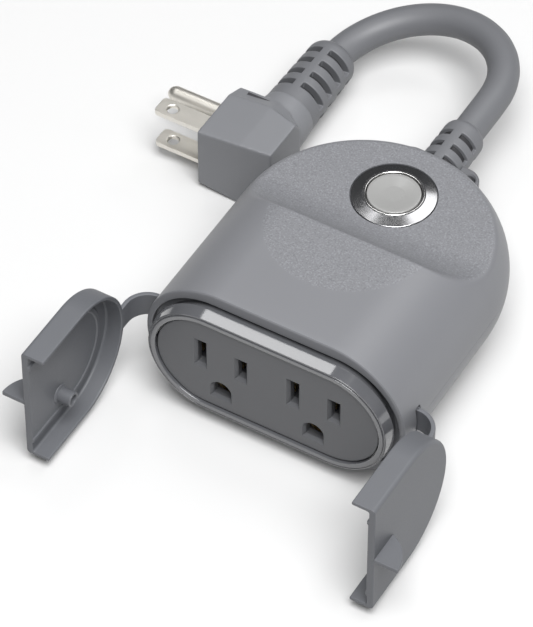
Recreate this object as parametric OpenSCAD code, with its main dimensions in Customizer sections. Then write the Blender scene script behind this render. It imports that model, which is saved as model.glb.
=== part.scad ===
// Outdoor smart plug: two switched outlets under rubber covers, one push
// button, and a short power cord that ends in a right-angle grounded plug.
// Millimetres, +Z up, standing on z = 0. The outlets face -Y, and the origin is
// under the middle of the housing with its covers open. The covers are drawn
// open and the button is drawn released.

/* [Housing] */
// Width across the sides
body_w = 81; // [80:0.5:83]
// Height, which is twice the radius of the rounded sides
body_h = 46.8; // [46.4:0.1:47.4]
// Wall thickness
wall = 2.5; // [2.2:0.1:2.6]
// Height of the lowered rear deck
deck_z = 36.8; // [36.4:0.1:37.2]
// Front-to-back run of the curved ramp between the crest and the deck
ramp_run = 17; // [16:0.5:18]
// Height of the deep side cut that each cover strap comes out of
strap_slot_h = 9; // [8.8:0.1:10]

/* [Outlets] */
// Distance between the two outlets
outlet_pitch = 29; // [28.6:0.1:29.4]
// Distance between the two blade slots of one outlet
blade_pitch = 12.7; // [12.7]
// Drop from the blade slots to the ground hole
ground_drop = 11.9; // [11.9]
// Radius of the round ends of the outlet face
face_r = 15.5; // [15.3:0.1:15.7]
// Radius of the round ends of the collar round the face
collar_r = 18.7; // [18.6:0.1:18.8]

/* [Button] */
// Outer radius of the sloping bezel
bezel_r = 12.1; // [11.9:0.1:12.3]
// Radius of the cap
cap_r = 7.65; // [7.4:0.05:7.8]

/* [Covers] */
// Depth of a cover from its back to the edge of its skirt
cover_depth = 7.1; // [6.9:0.1:7.3]
// Thickness of the cover's back
cover_plate = 1.9; // [1.7:0.1:2]
// Reach of the finger tab beyond the back
tab_reach = 7; // [6:0.5:8]

/* [Cord and plug] */
// Diameter of the cord
cord_d = 9.5; // [9.2:0.1:9.5]
// Thickness of the plug across its two flat blades
plug_h = 24; // [24:0.5:25]
// Length of the flat blades outside the plug
blade_len = 17; // [15.9:0.1:18.3]
// Length of the ground pin outside the plug
pin_len = 21; // [20:0.5:22]

/* [Hidden] */
$fn = 96;
eps = 0.01;
fit_gap = 0.05;

// Housing outline
body_r = body_h / 2;
mid_z = body_r;
core_x = body_w / 2 - body_r;
front_y = -35.8;
arc_y = 13.2;
crest_y = 2.8;
ramp_drop = body_h - deck_z;
ramp_r = (ramp_run * ramp_run + ramp_drop * ramp_drop) / (2 * ramp_drop);
rear_y = arc_y + body_w / 2;
cavity_front_y = -29.3;

// Outlet face and collar
face_y = -39.8;
face_t = 3;
rim_step = 0.7;
face_core_x = 19.8;
collar_core_x = 19;
groove_r = collar_r + 1.5;
groove_floor_y = -33.8;
flange_core_x = 17.2;
flange_r = 21.5;
flange_back_y = -31.8;
seal_t = 1.4;
slot_z = mid_z + 3.2;
slot_w = 2.3;
neutral_h = 8.8;
hot_h = 7;
lead_in = 0.8;
ground_z = slot_z - ground_drop;
ground_hole_r = 2.65;
carrier_front_y = -29.2;
carrier_back_y = -20;

// Button
button_y = 29.9;
bezel_rise = 1;
rim_r = cap_r + 1;
cap_top_z = deck_z + bezel_rise;
stem_bottom_z = 29.9;
button_board_z = 24;
board_t = 1.2;
button_post_x = 14.5;

// Boards
main_board_z = 12;
main_board_t = 1.6;
board_top_z = main_board_z + main_board_t;
board_post = [[-21, -13], [21, -13], [-18, 33], [18, 33]];
lead_end_x = [-8, 0, 8];
lead_end_h = 3.6;
case_post = [[-31, -12], [31, -12], [-27, 24], [27, 24]];
case_post_r = 4.1;
screw_seat_z = 11;
screw_tip_z = 29.5;

// Covers and straps: each cover turns on an upright line beside the housing
hinge_x = 43.9;
hinge_y = -33.3;
cover_core_x = 20.1;
cover_r = groove_r;
skirt_t = 1.15;
cover_free_x = 0.5;
skirt_edge_y = -36.4;
cover_back_y = skirt_edge_y - cover_depth;
strap_h = 8;
strap_t = 1.3;
strap_arc_r = 7.5;
strap_mid_z = 23.8;
strap_end_y = -28.15;
strap_start_x = 48.2;
anchor_gap = 0.35;

// Cord, reliefs and plug
cord_r = cord_d / 2;
cord_sides = 12;
relief_bore_r = cord_r + fit_gap;
tab_w = 26.6;
tab_t = 4;
tab_start_y = 48.7;
tab_rear_y = 59.6;
tab_corner_r = 5;
hang_hole_x = 9.9;
hang_hole_y = 55.6;
hang_hole_r = 1.9;
relief_r = 6.5;
relief_start_y = 46.7;
relief_end_y = 76.7;
relief_rows = [9.3, 14.4, 19.5];
clamp_y = 44.2;
clamp_post_x = 8.9;
plug_x = -53.6;
plug_z = plug_h / 2;
plug_relief_r = 8.4;
plug_relief_y = 60;
plug_relief_end_y = 91;
plug_relief_rows = [9.6, 14.8, 20.2, 25.3];
plug_face_x = -67.4;
plug_back_x = -43.5;
plug_front_y = 35.5;
crease_x = -53.3;
bridge_x = -60;
blade_y = 42.6;
blade_w = 6.35;
blade_t = 1.52;
pin_r = 2.38;
pin_root_r = 2;
pin_y = blade_y + ground_drop;
inner_len = 9;
cord_start_y = 42.5;
loop_r = -plug_x / 2;
loop_y = 88.8;
function loop_point(a) = [
    loop_r * (cos(a) - 1),
    loop_y + loop_r * sin(a),
    plug_z + (mid_z - plug_z) * (1 + cos(180 * pow(a / 180, 1.3))) / 2
];
cord_route = concat(
    [for (y = [cord_start_y, 52, 61, 70, 79]) [0, y, mid_z]],
    [for (a = [0:12:180]) loop_point(a)],
    [for (y = [82, 75, 68, plug_relief_y]) [plug_x, y, plug_z]]
);

// ---- Shared shapes ----

// Flat stadium: a bar of half-length a with round ends of radius r
module stadium(a, r) {
    square([2 * a, 2 * r], center = true);
    for (s = [-1, 1]) translate([s * a, 0]) circle(r);
}

// Stadium plate standing upright, from y0 to y1, centred on the housing
module stadium_plate(a, r, y0, y1) {
    translate([0, y1, mid_z]) rotate([90, 0, 0]) linear_extrude(y1 - y0) stadium(a, r);
}

// Plan outline of the housing, drawn in by inset
module arch(inset, y0) {
    r = body_w / 2 - inset;
    translate([-r, y0]) square([2 * r, arc_y - y0]);
    intersection() {
        translate([0, arc_y]) circle(r);
        translate([-r, arc_y - eps]) square([2 * r, r + 1]);
    }
}

// Housing as a solid cushion with fully rounded sides, drawn in by inset
module cushion(inset, y0) {
    r = body_r - inset;
    stadium_plate(core_x, r, y0, arc_y);
    translate([0, arc_y, mid_z]) rotate_extrude(angle = 180) intersection() {
        stadium(core_x, r);
        translate([0, -r]) square([core_x + r, 2 * r]);
    }
}

// What is cut away above the ramp and the rear deck, lowered by inset
module deck_cut(inset) {
    z0 = deck_z - inset;
    r = ramp_r + inset;
    top = body_h + 5;
    translate([-body_w, 0, 0]) rotate([90, 0, 90]) linear_extrude(2 * body_w) difference() {
        translate([crest_y - inset, z0]) square([body_w, top - z0]);
        difference() {
            translate([crest_y - inset - 1, z0 - eps])
                square([ramp_run + inset + 1, ramp_drop + inset + eps]);
            translate([crest_y + ramp_run, z0 + r]) circle(r);
        }
    }
}

module half_shell(upper) {
    difference() {
        intersection() {
            difference() {
                cushion(0, front_y);
                deck_cut(0);
            }
            translate([-body_w, -2 * body_w, upper ? mid_z : mid_z - body_h])
                cube([2 * body_w, 4 * body_w, body_h]);
        }
        difference() {
            cushion(wall, cavity_front_y);
            deck_cut(wall);
        }
        // opening for the collar, its flange and what is behind it
        stadium_plate(collar_core_x, groove_r, front_y - 1, groove_floor_y);
        stadium_plate(flange_core_x, flange_r + fit_gap, groove_floor_y - eps, flange_back_y + seal_t);
        stadium_plate(flange_core_x, collar_r, flange_back_y, cavity_front_y + 1);
        // strap cuts, the rear tab and the strain relief
        for (s = [-1, 1]) translate([s * (body_w / 2 - 1), strap_end_y, strap_mid_z])
            cube([6, strap_t + 1.2, strap_slot_h], center = true);
        translate([-tab_w / 2 - fit_gap, rear_y - 7, mid_z - tab_t / 2 - fit_gap])
            cube([tab_w + 2 * fit_gap, 20, tab_t + 2 * fit_gap]);
        translate([0, rear_y - 9, mid_z]) rotate([-90, 0, 0]) cylinder(r = relief_r + fit_gap, h = 30);
    }
}

// Ring between two radii, with its axis along Z
module tube(r_out, r_in, h) {
    difference() {
        cylinder(r = r_out, h = h);
        translate([0, 0, -1]) cylinder(r = r_in, h = h + 2);
    }
}

// Pan-head screw standing on its tip at the origin, its head above
module screw(shaft_r, shaft_h, head_r, head_h) {
    cylinder(r = shaft_r, h = shaft_h);
    translate([0, 0, shaft_h]) difference() {
        cylinder(r = head_r, h = head_h);
        for (a = [0, 90]) rotate(a) translate([-head_r * 0.6, -0.3, head_h * 0.5])
            cube([head_r * 1.2, 0.6, head_h]);
    }
}

// Tube swept along a route of points
function unit(v) = v / norm(v);
function along(p, i) = unit(p[min(i + 1, len(p) - 1)] - p[max(i - 1, 0)]);
function side_dir(t) = unit(cross(t, [0, 0, 1]));
function ring_points(p, i, r, n) =
    let (t = along(p, i), u = side_dir(t), v = cross(u, t))
    [for (k = [0:n - 1]) p[i] + r * (u * cos(360 * k / n) + v * sin(360 * k / n))];
module swept_tube(p, r, n) {
    m = len(p);
    points = [for (i = [0:m - 1]) each ring_points(p, i, r, n)];
    sides = [for (i = [0:m - 2], k = [0:n - 1])
        [i * n + k, i * n + (k + 1) % n, (i + 1) * n + (k + 1) % n, (i + 1) * n + k]];
    first = [for (k = [n - 1:-1:0]) k];
    last = [for (k = [0:n - 1]) (m - 1) * n + k];
    polyhedron(concat(points), concat([first], sides, [last]), convexity = 6);
}

// Flexible strain relief along +Y from the origin, with rows of cross slots
module strain_relief(len, r0, r1, tip, row_y, bore_r) {
    slot = 2.2;
    spine = 2.8;
    core = bore_r + 0.9;
    rotate([-90, 0, 0]) difference() {
        union() {
            cylinder(r1 = r0, r2 = r1, h = len - tip);
            translate([0, 0, len - tip]) cylinder(r1 = r1, r2 = r1 - tip * 0.35, h = tip * 0.6);
            translate([0, 0, len - tip * 0.4])
                cylinder(r1 = r1 - tip * 0.35, r2 = r1 - tip * 0.9, h = tip * 0.4);
        }
        translate([0, 0, -1]) cylinder(r = bore_r, h = len + 2);
        for (y = row_y) translate([0, 0, y - slot / 2]) difference() {
            tube(r0 + 2, core, slot);
            for (a = [0, 90]) rotate(a) translate([-spine / 2, -r0 - 3, -1])
                cube([spine, 2 * r0 + 6, slot + 2]);
        }
    }
}

// ---- Housing ----

module upper_shell() color("#7f8185") difference() {
    union() {
        half_shell(true);
        intersection() {
            union() {
                for (p = case_post) translate([p[0], p[1], mid_z]) cylinder(r = case_post_r, h = body_h);
                for (s = [-1, 1]) translate([s * button_post_x, button_y, button_board_z + board_t])
                    cylinder(r = 2.2, h = body_h);
            }
            difference() {
                cushion(wall - 0.5, cavity_front_y);
                deck_cut(wall - 0.5);
            }
        }
    }
    for (p = case_post) translate([p[0], p[1], mid_z - 1]) cylinder(r = 1.45, h = screw_tip_z - mid_z + 2);
    for (s = [-1, 1]) translate([s * button_post_x, button_y, button_board_z]) cylinder(r = 0.85, h = 6);
    translate([0, button_y, deck_z - 1.05]) cylinder(r = bezel_r + 0.15, h = 5);
    translate([0, button_y, deck_z - 5]) cylinder(r = bezel_r - 1.1, h = 10);
}

module lower_shell() color("#7f8185") difference() {
    union() {
        half_shell(false);
        intersection() {
            union() {
                for (p = case_post) translate([p[0], p[1], 0]) cylinder(r = case_post_r, h = mid_z - fit_gap);
                for (p = board_post) translate([p[0], p[1], 0]) cylinder(r = 2.6, h = main_board_z);
                for (s = [-1, 1]) translate([s * clamp_post_x, clamp_y, 0])
                    cylinder(r = 2.4, h = mid_z - 5.4);
            }
            cushion(wall - 0.5, cavity_front_y);
        }
    }
    for (p = case_post) translate([p[0], p[1], 0]) {
        cylinder(r = 1.7, h = body_h);
        translate([0, 0, -1]) cylinder(r = 3, h = screw_seat_z + 1);
    }
    for (p = board_post) translate([p[0], p[1], 6]) cylinder(r = 1.05, h = 8);
    for (s = [-1, 1]) translate([s * clamp_post_x, clamp_y, mid_z - 8.6]) cylinder(r = 1, h = 8);
    seal_outline(0.8, 1.6);
}

// Band round the joint between the shells, t wide and h deep
module seal_outline(t, h) {
    translate([0, 0, mid_z - h / 2]) linear_extrude(h) difference() {
        arch(wall / 2 - t / 2, strap_end_y + 4);
        arch(wall / 2 + t / 2, strap_end_y + 3);
        translate([-tab_w / 2 - 1.5, 0]) square([tab_w + 3, body_w]);
    }
}

module shell_seal() color("#303236") intersection() {
    seal_outline(0.7, 1.5);
    translate([-body_w, -body_w, mid_z - 2]) cube([2 * body_w, 2 * body_w, 2]);
}

module case_screws() color("silver")
    for (p = case_post) translate([p[0], p[1], screw_tip_z]) rotate([180, 0, 0])
        screw(1.4, screw_tip_z - screw_seat_z, 2.8, 2);

// Ears on both sides of the strain relief, joined by a ring inside the housing
module hang_tab() color("#606367") difference() {
    union() {
        translate([0, 0, mid_z - tab_t / 2]) linear_extrude(tab_t) {
            translate([-tab_w / 2, tab_start_y]) square([tab_w, tab_rear_y - tab_corner_r - tab_start_y]);
            translate([-tab_w / 2 + tab_corner_r, tab_start_y])
                square([tab_w - 2 * tab_corner_r, tab_rear_y - tab_start_y]);
            for (s = [-1, 1]) translate([s * (tab_w / 2 - tab_corner_r), tab_rear_y - tab_corner_r])
                circle(tab_corner_r);
        }
        translate([0, tab_start_y, mid_z]) rotate([-90, 0, 0]) cylinder(r = 7.6, h = 1);
    }
    translate([0, rear_y - 10, mid_z]) rotate([-90, 0, 0]) cylinder(r = relief_r + fit_gap, h = 30);
    for (s = [-1, 1]) translate([s * hang_hole_x, hang_hole_y, 0]) cylinder(r = hang_hole_r, h = body_h);
}

// ---- Outlets ----

module outlet_collar() color("#6d6f73") difference() {
    union() {
        stadium_plate(collar_core_x, collar_r, face_y - rim_step + 1, groove_floor_y + eps);
        stadium_plate(collar_core_x, collar_r - 0.4, face_y - rim_step + 0.4, face_y - rim_step + 1 + eps);
        stadium_plate(collar_core_x, collar_r - 1, face_y - rim_step, face_y - rim_step + 1);
        stadium_plate(flange_core_x, flange_r, groove_floor_y, flange_back_y);
    }
    stadium_plate(face_core_x, face_r, face_y - 5, cavity_front_y);
}

// Rounded opening of one ground hole, as a flat shape
module ground_outline(grow) {
    circle(ground_hole_r + grow);
    r = ground_hole_r + grow;
    translate([-r, -r]) square([2 * r, r]);
}

// The two slots and the ground hole of one outlet, cut inwards from y0 by depth
module outlet_holes(y0, depth, grow) {
    for (s = [-1, 1]) translate([s * blade_pitch / 2, y0 + depth / 2, slot_z])
        cube([slot_w + 2 * grow, depth, (s < 0 ? neutral_h : hot_h) + 2 * grow], center = true);
    translate([0, y0 + depth, ground_z]) rotate([90, 0, 0]) linear_extrude(depth) ground_outline(grow);
}

module outlet_face() color("#5a5c60") difference() {
    stadium_plate(face_core_x, face_r - fit_gap, face_y, face_y + face_t);
    for (s = [-1, 1]) translate([s * outlet_pitch / 2, 0, 0]) {
        outlet_holes(face_y - 1, face_t + 2, 0);
        for (k = [0:2]) outlet_holes(face_y - 1, 1 + 0.3 * (k + 1), lead_in * (1 - k / 3));
    }
}

module collar_seal() color("#2c2d30") difference() {
    stadium_plate(flange_core_x, flange_r - 0.4, flange_back_y, flange_back_y + seal_t);
    stadium_plate(flange_core_x, collar_r + 0.2, flange_back_y - 1, cavity_front_y + 1);
}

module contact_carrier() color("#d8d8d2") difference() {
    union() {
        stadium_plate(face_core_x, face_r - 0.1, face_y + face_t, carrier_front_y + eps);
        translate([-32.5, carrier_front_y, mid_z - 13]) cube([65, carrier_back_y - carrier_front_y, 26]);
    }
    for (s = [-1, 1]) translate([s * outlet_pitch / 2, 0, 0]) {
        // pocket for each contact clip, open to the front
        for (b = [-1, 1]) translate([b * blade_pitch / 2, 0, slot_z])
            translate([-2.7, face_y + face_t - 1, -5]) cube([5.4, 16, 10]);
        translate([0, face_y + face_t - 1, ground_z]) rotate([-90, 0, 0]) cylinder(r = 3.4, h = 16);
    }
    // back channels for the bus bars
    for (z = [slot_z, ground_z]) translate([-30, carrier_back_y - 3, z - 2]) cube([60, 4, 4]);
}

// Spring clip that grips one flat blade, its two leaves joined at the back
module blade_clip() {
    for (s = [-1, 1]) translate([s * 1.55 - 0.4, face_y + face_t + 0.5, slot_z - 3]) cube([0.8, 13.5, 6]);
    translate([-1.95, face_y + face_t + 14, slot_z - 3]) cube([3.9, 0.8, 6]);
}

module hot_contact(s) color("#c8a24a") translate([s * outlet_pitch / 2 + blade_pitch / 2, 0, 0]) {
    blade_clip();
    translate([-1, face_y + face_t + 14.5, slot_z - 1.5]) cube([2, 6, 3]);
}

module hot_contact_left() hot_contact(-1);
module hot_contact_right() hot_contact(1);

module neutral_contacts() color("#c9ccd0") {
    for (s = [-1, 1]) translate([s * outlet_pitch / 2 - blade_pitch / 2, 0, 0]) {
        blade_clip();
        translate([-1, face_y + face_t + 14.5, slot_z - 1.5]) cube([2, 7, 3]);
    }
    translate([-(outlet_pitch + blade_pitch) / 2 - 1, carrier_back_y + 4, slot_z - 1.5])
        cube([outlet_pitch + 2, 0.9, 3]);
}

module ground_contacts() color("#b8b25a") {
    for (s = [-1, 1]) translate([s * outlet_pitch / 2, face_y + face_t + 0.5, ground_z])
        rotate([-90, 0, 0]) tube(3.2, 2.45, 13.5);
    translate([-outlet_pitch / 2 - 3, face_y + face_t + 14, ground_z - 1.5]) cube([outlet_pitch + 6, 0.9, 3]);
}

// ---- Button ----

module button_bezel() color("#8d8f93") translate([0, button_y, 0]) rotate_extrude() polygon([
    [rim_r, deck_z - 4.5], [bezel_r - 1.2, deck_z - 4.5], [bezel_r - 1.2, deck_z - 1],
    [bezel_r, deck_z - 1], [bezel_r, deck_z + 0.05], [rim_r, cap_top_z]
]);

module bezel_rim() color("silver") translate([0, button_y, deck_z - 3.5])
    tube(rim_r, cap_r + 0.3, bezel_rise + 3.6);

module button_cap() color("#c9c8c6") translate([0, button_y, 0]) rotate_extrude() polygon([
    [0, cap_top_z - 3], [cap_r, cap_top_z - 3], [cap_r, cap_top_z - 0.3], [cap_r - 0.3, cap_top_z],
    [cap_r - 1.2, cap_top_z], [cap_r - 3, cap_top_z - 0.35], [0, cap_top_z - 0.5]
]);

module button_stem() color("#4a4c50") translate([0, button_y, stem_bottom_z])
    cylinder(r = 2, h = cap_top_z - 3 - stem_bottom_z);

module button_seal() color("#2c2d30") translate([0, button_y, deck_z - 5.7]) difference() {
    cylinder(r = bezel_r - 1.4, h = 1);
    translate([0, 0, -1]) cylinder(r = 2.4, h = 3);
}

module button_board() color("#1f5a38") difference() {
    translate([-17.5, button_y - 6, button_board_z]) cube([35, 12, board_t]);
    for (s = [-1, 1]) translate([s * button_post_x, button_y, 0]) cylinder(r = 1.1, h = body_h);
}

module button_board_screws() color("silver")
    for (s = [-1, 1]) translate([s * button_post_x, button_y, button_board_z + board_t + 4])
        rotate([180, 0, 0]) screw(0.8, 4 + board_t, 1.7, 1.2);

module tact_switch() color("#26272a") translate([0, button_y, button_board_z + board_t]) difference() {
    translate([-3, -3, 0]) cube([6, 6, 3.6]);
    translate([0, 0, 1.6]) cylinder(r = 1.8, h = 4);
}

module switch_plunger() color("#e0e0dc") translate([0, button_y, button_board_z + board_t + 2.6])
    cylinder(r = 1.5, h = stem_bottom_z - button_board_z - board_t - 2.6);

module status_led() color("#e8f0f0") translate([8, button_y, button_board_z + board_t]) {
    translate([-1.6, -1, 0]) cube([3.2, 2, 1.2]);
    translate([0, 0, 1.2]) cylinder(r = 0.9, h = 0.5);
}

// ---- Electronics ----

module main_board() color("#1f6b40") translate([0, 0, main_board_z])
    linear_extrude(main_board_t) difference() {
        intersection() {
            translate([-25, -17]) square([50, 56]);
            arch(body_w / 2 - 33, -18);
        }
        for (p = case_post) translate(p) circle(case_post_r + 0.6);
        for (p = board_post) translate(p) circle(1.4);
    }

module board_screws() color("silver") for (p = board_post)
    translate([p[0], p[1], board_top_z - 6]) screw(1, 6, 2, 1.4);

module relay(s) color("#22252a") translate([s * 9.5 - 7.6, -14, board_top_z]) cube([15.2, 18.5, 15.5]);
module relay_left() relay(-1);
module relay_right() relay(1);

module power_converter() color("#3a3c40") translate([-22, 5.5, board_top_z]) cube([26, 15.5, 12]);

module bulk_capacitor() color("#2f3b52") translate([17, 10.5, board_top_z]) cylinder(r = 5, h = 13);

module fuse() color("#e6e1d2") translate([-20, 24.5, board_top_z + 2.4])
    rotate([0, 90, 0]) cylinder(r = 2.4, h = 9);

module varistor() color("#2a5aa0") translate([6.5, 10.5, board_top_z + 5])
    rotate([0, 90, 0]) cylinder(r = 5, h = 3.2);

module wifi_board() color("#15406a") translate([5, 17.5, board_top_z]) cube([17, 9, 1]);

module wifi_shield() color("#b9bcc0") translate([6, 18.5, board_top_z + 1]) cube([11, 7, 2.2]);

module terminal_block() color("#2d7a4a") difference() {
    translate([-12, 28, board_top_z]) cube([24, 6, 7]);
    for (x = lead_end_x) translate([x, 27, board_top_z + lead_end_h])
        rotate([-90, 0, 0]) cylinder(r = 1.5, h = 8);
}

// One insulated lead from the end of the cord to its terminal
module lead(from, x_end) {
    z_start = mid_z + from[1];
    z_end = board_top_z + lead_end_h;
    swept_tube([
        [from[0], cord_start_y - 0.02, z_start], [from[0], 41.6, z_start],
        [from[0] + 0.15 * (x_end - from[0]), 40.4, z_start - 0.7],
        [(from[0] + x_end) / 2, 38.6, (z_start + z_end) / 2],
        [x_end - 0.15 * (x_end - from[0]), 36.8, z_end + 0.7],
        [x_end, 35.4, z_end], [x_end, 29, z_end]
    ], 1.25, 8);
}
module hot_wire() color("#2a2a2c") lead([-1.7, 1], lead_end_x[0]);
module neutral_wire() color("#e8e8e4") lead([1.7, 1], lead_end_x[2]);
module ground_wire() color("#3f8f4a") lead([0, -1.9], lead_end_x[1]);

// ---- Covers ----

// Right-hand cover as it sits when closed over its outlet
module cover_closed() {
    difference() {
        union() {
            half_cover(cover_r, cover_back_y + 0.9, skirt_edge_y);
            half_cover(cover_r - 0.35, cover_back_y + 0.3, cover_back_y + 0.9 + eps);
            half_cover(cover_r - 0.9, cover_back_y, cover_back_y + 0.9);
        }
        difference() {
            stadium_plate(cover_core_x, cover_r - skirt_t, cover_back_y + cover_plate, skirt_edge_y + 1);
            // raised pad that presses on the face
            stadium_plate(face_core_x, face_r - 0.4, cover_back_y, cover_back_y + cover_plate + 0.6);
        }
    }
    finger_tab();
    plug_post();
}

// Cover profile from y0 to y1, cut off at its free edge
module half_cover(r, y0, y1) intersection() {
    stadium_plate(cover_core_x, r, y0, y1);
    translate([cover_free_x, y0 - 1, -1]) cube([body_w, y1 - y0 + 2, body_h + 2]);
}

// Hollow post on the inside of a cover that goes into the ground hole
module plug_post() translate([outlet_pitch / 2, skirt_edge_y - 0.4, ground_z]) rotate([90, 0, 0])
    tube(2.3, 1.5, cover_depth - cover_plate - 0.4 + 0.5);

module finger_tab() {
    root = 10.3;
    tab_r = (tab_reach * tab_reach + root * root) / (2 * tab_reach);
    translate([cover_free_x, cover_back_y + 0.5, mid_z - 0.75]) linear_extrude(1.5) intersection() {
        translate([0, tab_r - tab_reach - 0.5]) circle(tab_r);
        translate([0, -tab_reach - 0.5]) square([root + 2, tab_reach + 0.5]);
    }
}

// Turns the closed cover about its hinge line to where it stands open
module opened() translate([hinge_x, hinge_y, 0]) rotate(90)
    translate([-hinge_x, -hinge_y, 0]) children();

module right_cover() color("#6a6d72") opened() cover_closed();
module left_cover() color("#6a6d72") mirror([1, 0, 0]) opened() cover_closed();

// Flat rubber strap from the cut in the housing side round to the cover's edge
module strap() {
    arc_x = strap_start_x - strap_arc_r;
    arc_cy = strap_end_y + strap_t / 2 - strap_arc_r;
    translate([0, 0, strap_mid_z - strap_h / 2]) linear_extrude(strap_h) {
        translate([arc_x, arc_cy]) intersection() {
            difference() {
                circle(strap_arc_r);
                circle(strap_arc_r - strap_t);
            }
            square(strap_arc_r + 1);
        }
        translate([strap_start_x - strap_t, hinge_y - 4]) square([strap_t, arc_cy - hinge_y + 4 + eps]);
    }
}
module right_strap() color("#63666b") strap();
module left_strap() color("#63666b") mirror([1, 0, 0]) strap();

// Root of a strap, held in the housing by its wide end
module strap_anchor() {
    root_x = 35.5;
    end_x = strap_start_x - strap_arc_r - anchor_gap;
    translate([root_x, strap_end_y - strap_t / 2, strap_mid_z - strap_h / 2])
        cube([end_x - root_x, strap_t, strap_h]);
    translate([root_x, strap_end_y - 1, strap_mid_z - strap_h / 2]) cube([2, 3, strap_h]);
}
module right_strap_anchor() color("#63666b") strap_anchor();
module left_strap_anchor() color("#63666b") mirror([1, 0, 0]) strap_anchor();

// ---- Cord and plug ----

module power_cord() color("#74767a") swept_tube(cord_route, cord_r, cord_sides);

module body_strain_relief() color("#717377") translate([0, relief_start_y, mid_z]) {
    strain_relief(relief_end_y - relief_start_y, relief_r, relief_r - 0.2, 2.4,
        relief_rows, relief_bore_r);
    // flange that stops it being pulled out through the wall
    translate([0, 0.3, 0]) rotate([-90, 0, 0]) tube(8, relief_bore_r, 1.6);
}

// Saddle that holds the cord down on its two posts
module cord_clamp() color("#2f3135") difference() {
    union() {
        translate([-11.5, clamp_y - 2, mid_z - 5.4]) cube([23, 4, 4]);
        translate([0, clamp_y - 2, mid_z]) rotate([-90, 0, 0]) cylinder(r = 6.6, h = 4);
    }
    translate([0, clamp_y - 3, mid_z]) rotate([-90, 0, 0]) cylinder(r = relief_bore_r, h = 6);
    for (s = [-1, 1]) translate([s * clamp_post_x, clamp_y, 0]) cylinder(r = 1.2, h = body_h);
}

module clamp_screws() color("silver") for (s = [-1, 1])
    translate([s * clamp_post_x, clamp_y, mid_z - 8.4]) screw(0.95, 7, 1.9, 1.2);

module plug_strain_relief() color("#717377") translate([plug_x, plug_relief_y, plug_z])
    strain_relief(plug_relief_end_y - plug_relief_y, plug_relief_r, plug_relief_r - 0.7, 3,
        plug_relief_rows, relief_bore_r);

// Side outline of the plug, seen along its blades: Y across, Z up
module plug_outline(inset) polygon([
    [plug_front_y + 1.3 + inset, inset], [plug_front_y + inset, 1.3 + inset],
    [plug_front_y + inset, plug_h - 1.3 - inset], [plug_front_y + 1.3 + inset, plug_h - inset],
    [plug_relief_y - 6.5 - inset, plug_h - inset], [plug_relief_y - inset, plug_h - 4 - inset],
    [plug_relief_y - inset, 4 + inset], [plug_relief_y - 6.5 - inset, inset]
]);

// Plug moulding: an eight-sided block that narrows a little towards its blades
module plug_block(inset) intersection() {
    translate([plug_face_x + inset, 0, 0]) rotate([90, 0, 90])
        linear_extrude(plug_back_x - plug_face_x - 2 * inset) plug_outline(inset);
    translate([0, plug_relief_y + 5, 0]) rotate([90, 0, 0]) linear_extrude(plug_h + 20) polygon([
        [plug_face_x, 3], [plug_face_x + 1.5, 2], [crease_x, 0], [plug_back_x, 0],
        [plug_back_x, plug_h], [crease_x, plug_h], [plug_face_x + 1.5, plug_h - 2], [plug_face_x, plug_h - 3]
    ]);
    linear_extrude(plug_h) polygon([
        [plug_face_x, plug_front_y + 1.5], [plug_face_x + 1.5, plug_front_y], [crease_x, plug_front_y],
        [plug_back_x, plug_front_y + 1], [plug_back_x, plug_relief_y - 9], [crease_x, plug_relief_y],
        [plug_face_x + 1.5, plug_relief_y], [plug_face_x, plug_relief_y - 1.5]
    ]);
}

module plug_body() color("#76787c") difference() {
    union() {
        plug_block(0);
        // rounded hump that carries the cord's strain relief
        translate([plug_x, plug_relief_y - 12, plug_z]) rotate([-90, 0, 0])
            cylinder(r = plug_relief_r + 1.4, h = 12);
    }
    // cavity for the moulded bridge that holds the blades
    translate([bridge_x - 3.5, blade_y - 4.2, plug_z - 9.2]) cube([7.4, pin_y - blade_y + 7.8, 18.4]);
    blade_cuts(inner_len);
}

// Clearance for the two blades and the pin, from the plug's face inwards
module blade_cuts(depth) {
    for (s = [-1, 1])
        translate([plug_face_x - 1, blade_y, plug_z + s * blade_pitch / 2])
            translate([0, -blade_w / 2 - fit_gap, -blade_t / 2 - fit_gap])
                cube([depth + 1, blade_w + 2 * fit_gap, blade_t + 2 * fit_gap]);
    translate([plug_face_x - 1, pin_y, plug_z]) rotate([0, 90, 0])
        cylinder(r = pin_root_r + fit_gap, h = depth + 1);
}

module plug_bridge() color("#55575b") difference() {
    translate([bridge_x - 3.4, blade_y - 4.1, plug_z - 9.1]) cube([7.2, pin_y - blade_y + 7.6, 18.2]);
    blade_cuts(inner_len);
}

// Flat blade with a hole near its chamfered tip, on the side s of the plug
module blade(s) translate([0, blade_y, plug_z + s * blade_pitch / 2 - blade_t / 2]) {
    linear_extrude(blade_t) difference() {
        polygon([
            [plug_face_x + inner_len - fit_gap, -blade_w / 2],
            [plug_face_x + inner_len - fit_gap, blade_w / 2],
            [plug_face_x - blade_len + 1.2, blade_w / 2], [plug_face_x - blade_len, blade_w / 2 - 1.2],
            [plug_face_x - blade_len, 1.2 - blade_w / 2], [plug_face_x - blade_len + 1.2, -blade_w / 2]
        ]);
        translate([plug_face_x - blade_len + 4.4, 0]) circle(1.6);
    }
}
module hot_blade() color("#cfc9b8") blade(1);
module neutral_blade() color("#cfc9b8") blade(-1);

module ground_pin() color("#cfc9b8") translate([plug_face_x, pin_y, plug_z]) rotate([0, -90, 0]) {
    cylinder(r = pin_r, h = pin_len - pin_r);
    translate([0, 0, fit_gap - inner_len]) cylinder(r = pin_root_r, h = inner_len);
    translate([0, 0, pin_len - pin_r]) intersection() {
        sphere(pin_r);
        translate([0, 0, 5 - eps]) cube(10, center = true);
    }
}

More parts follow.
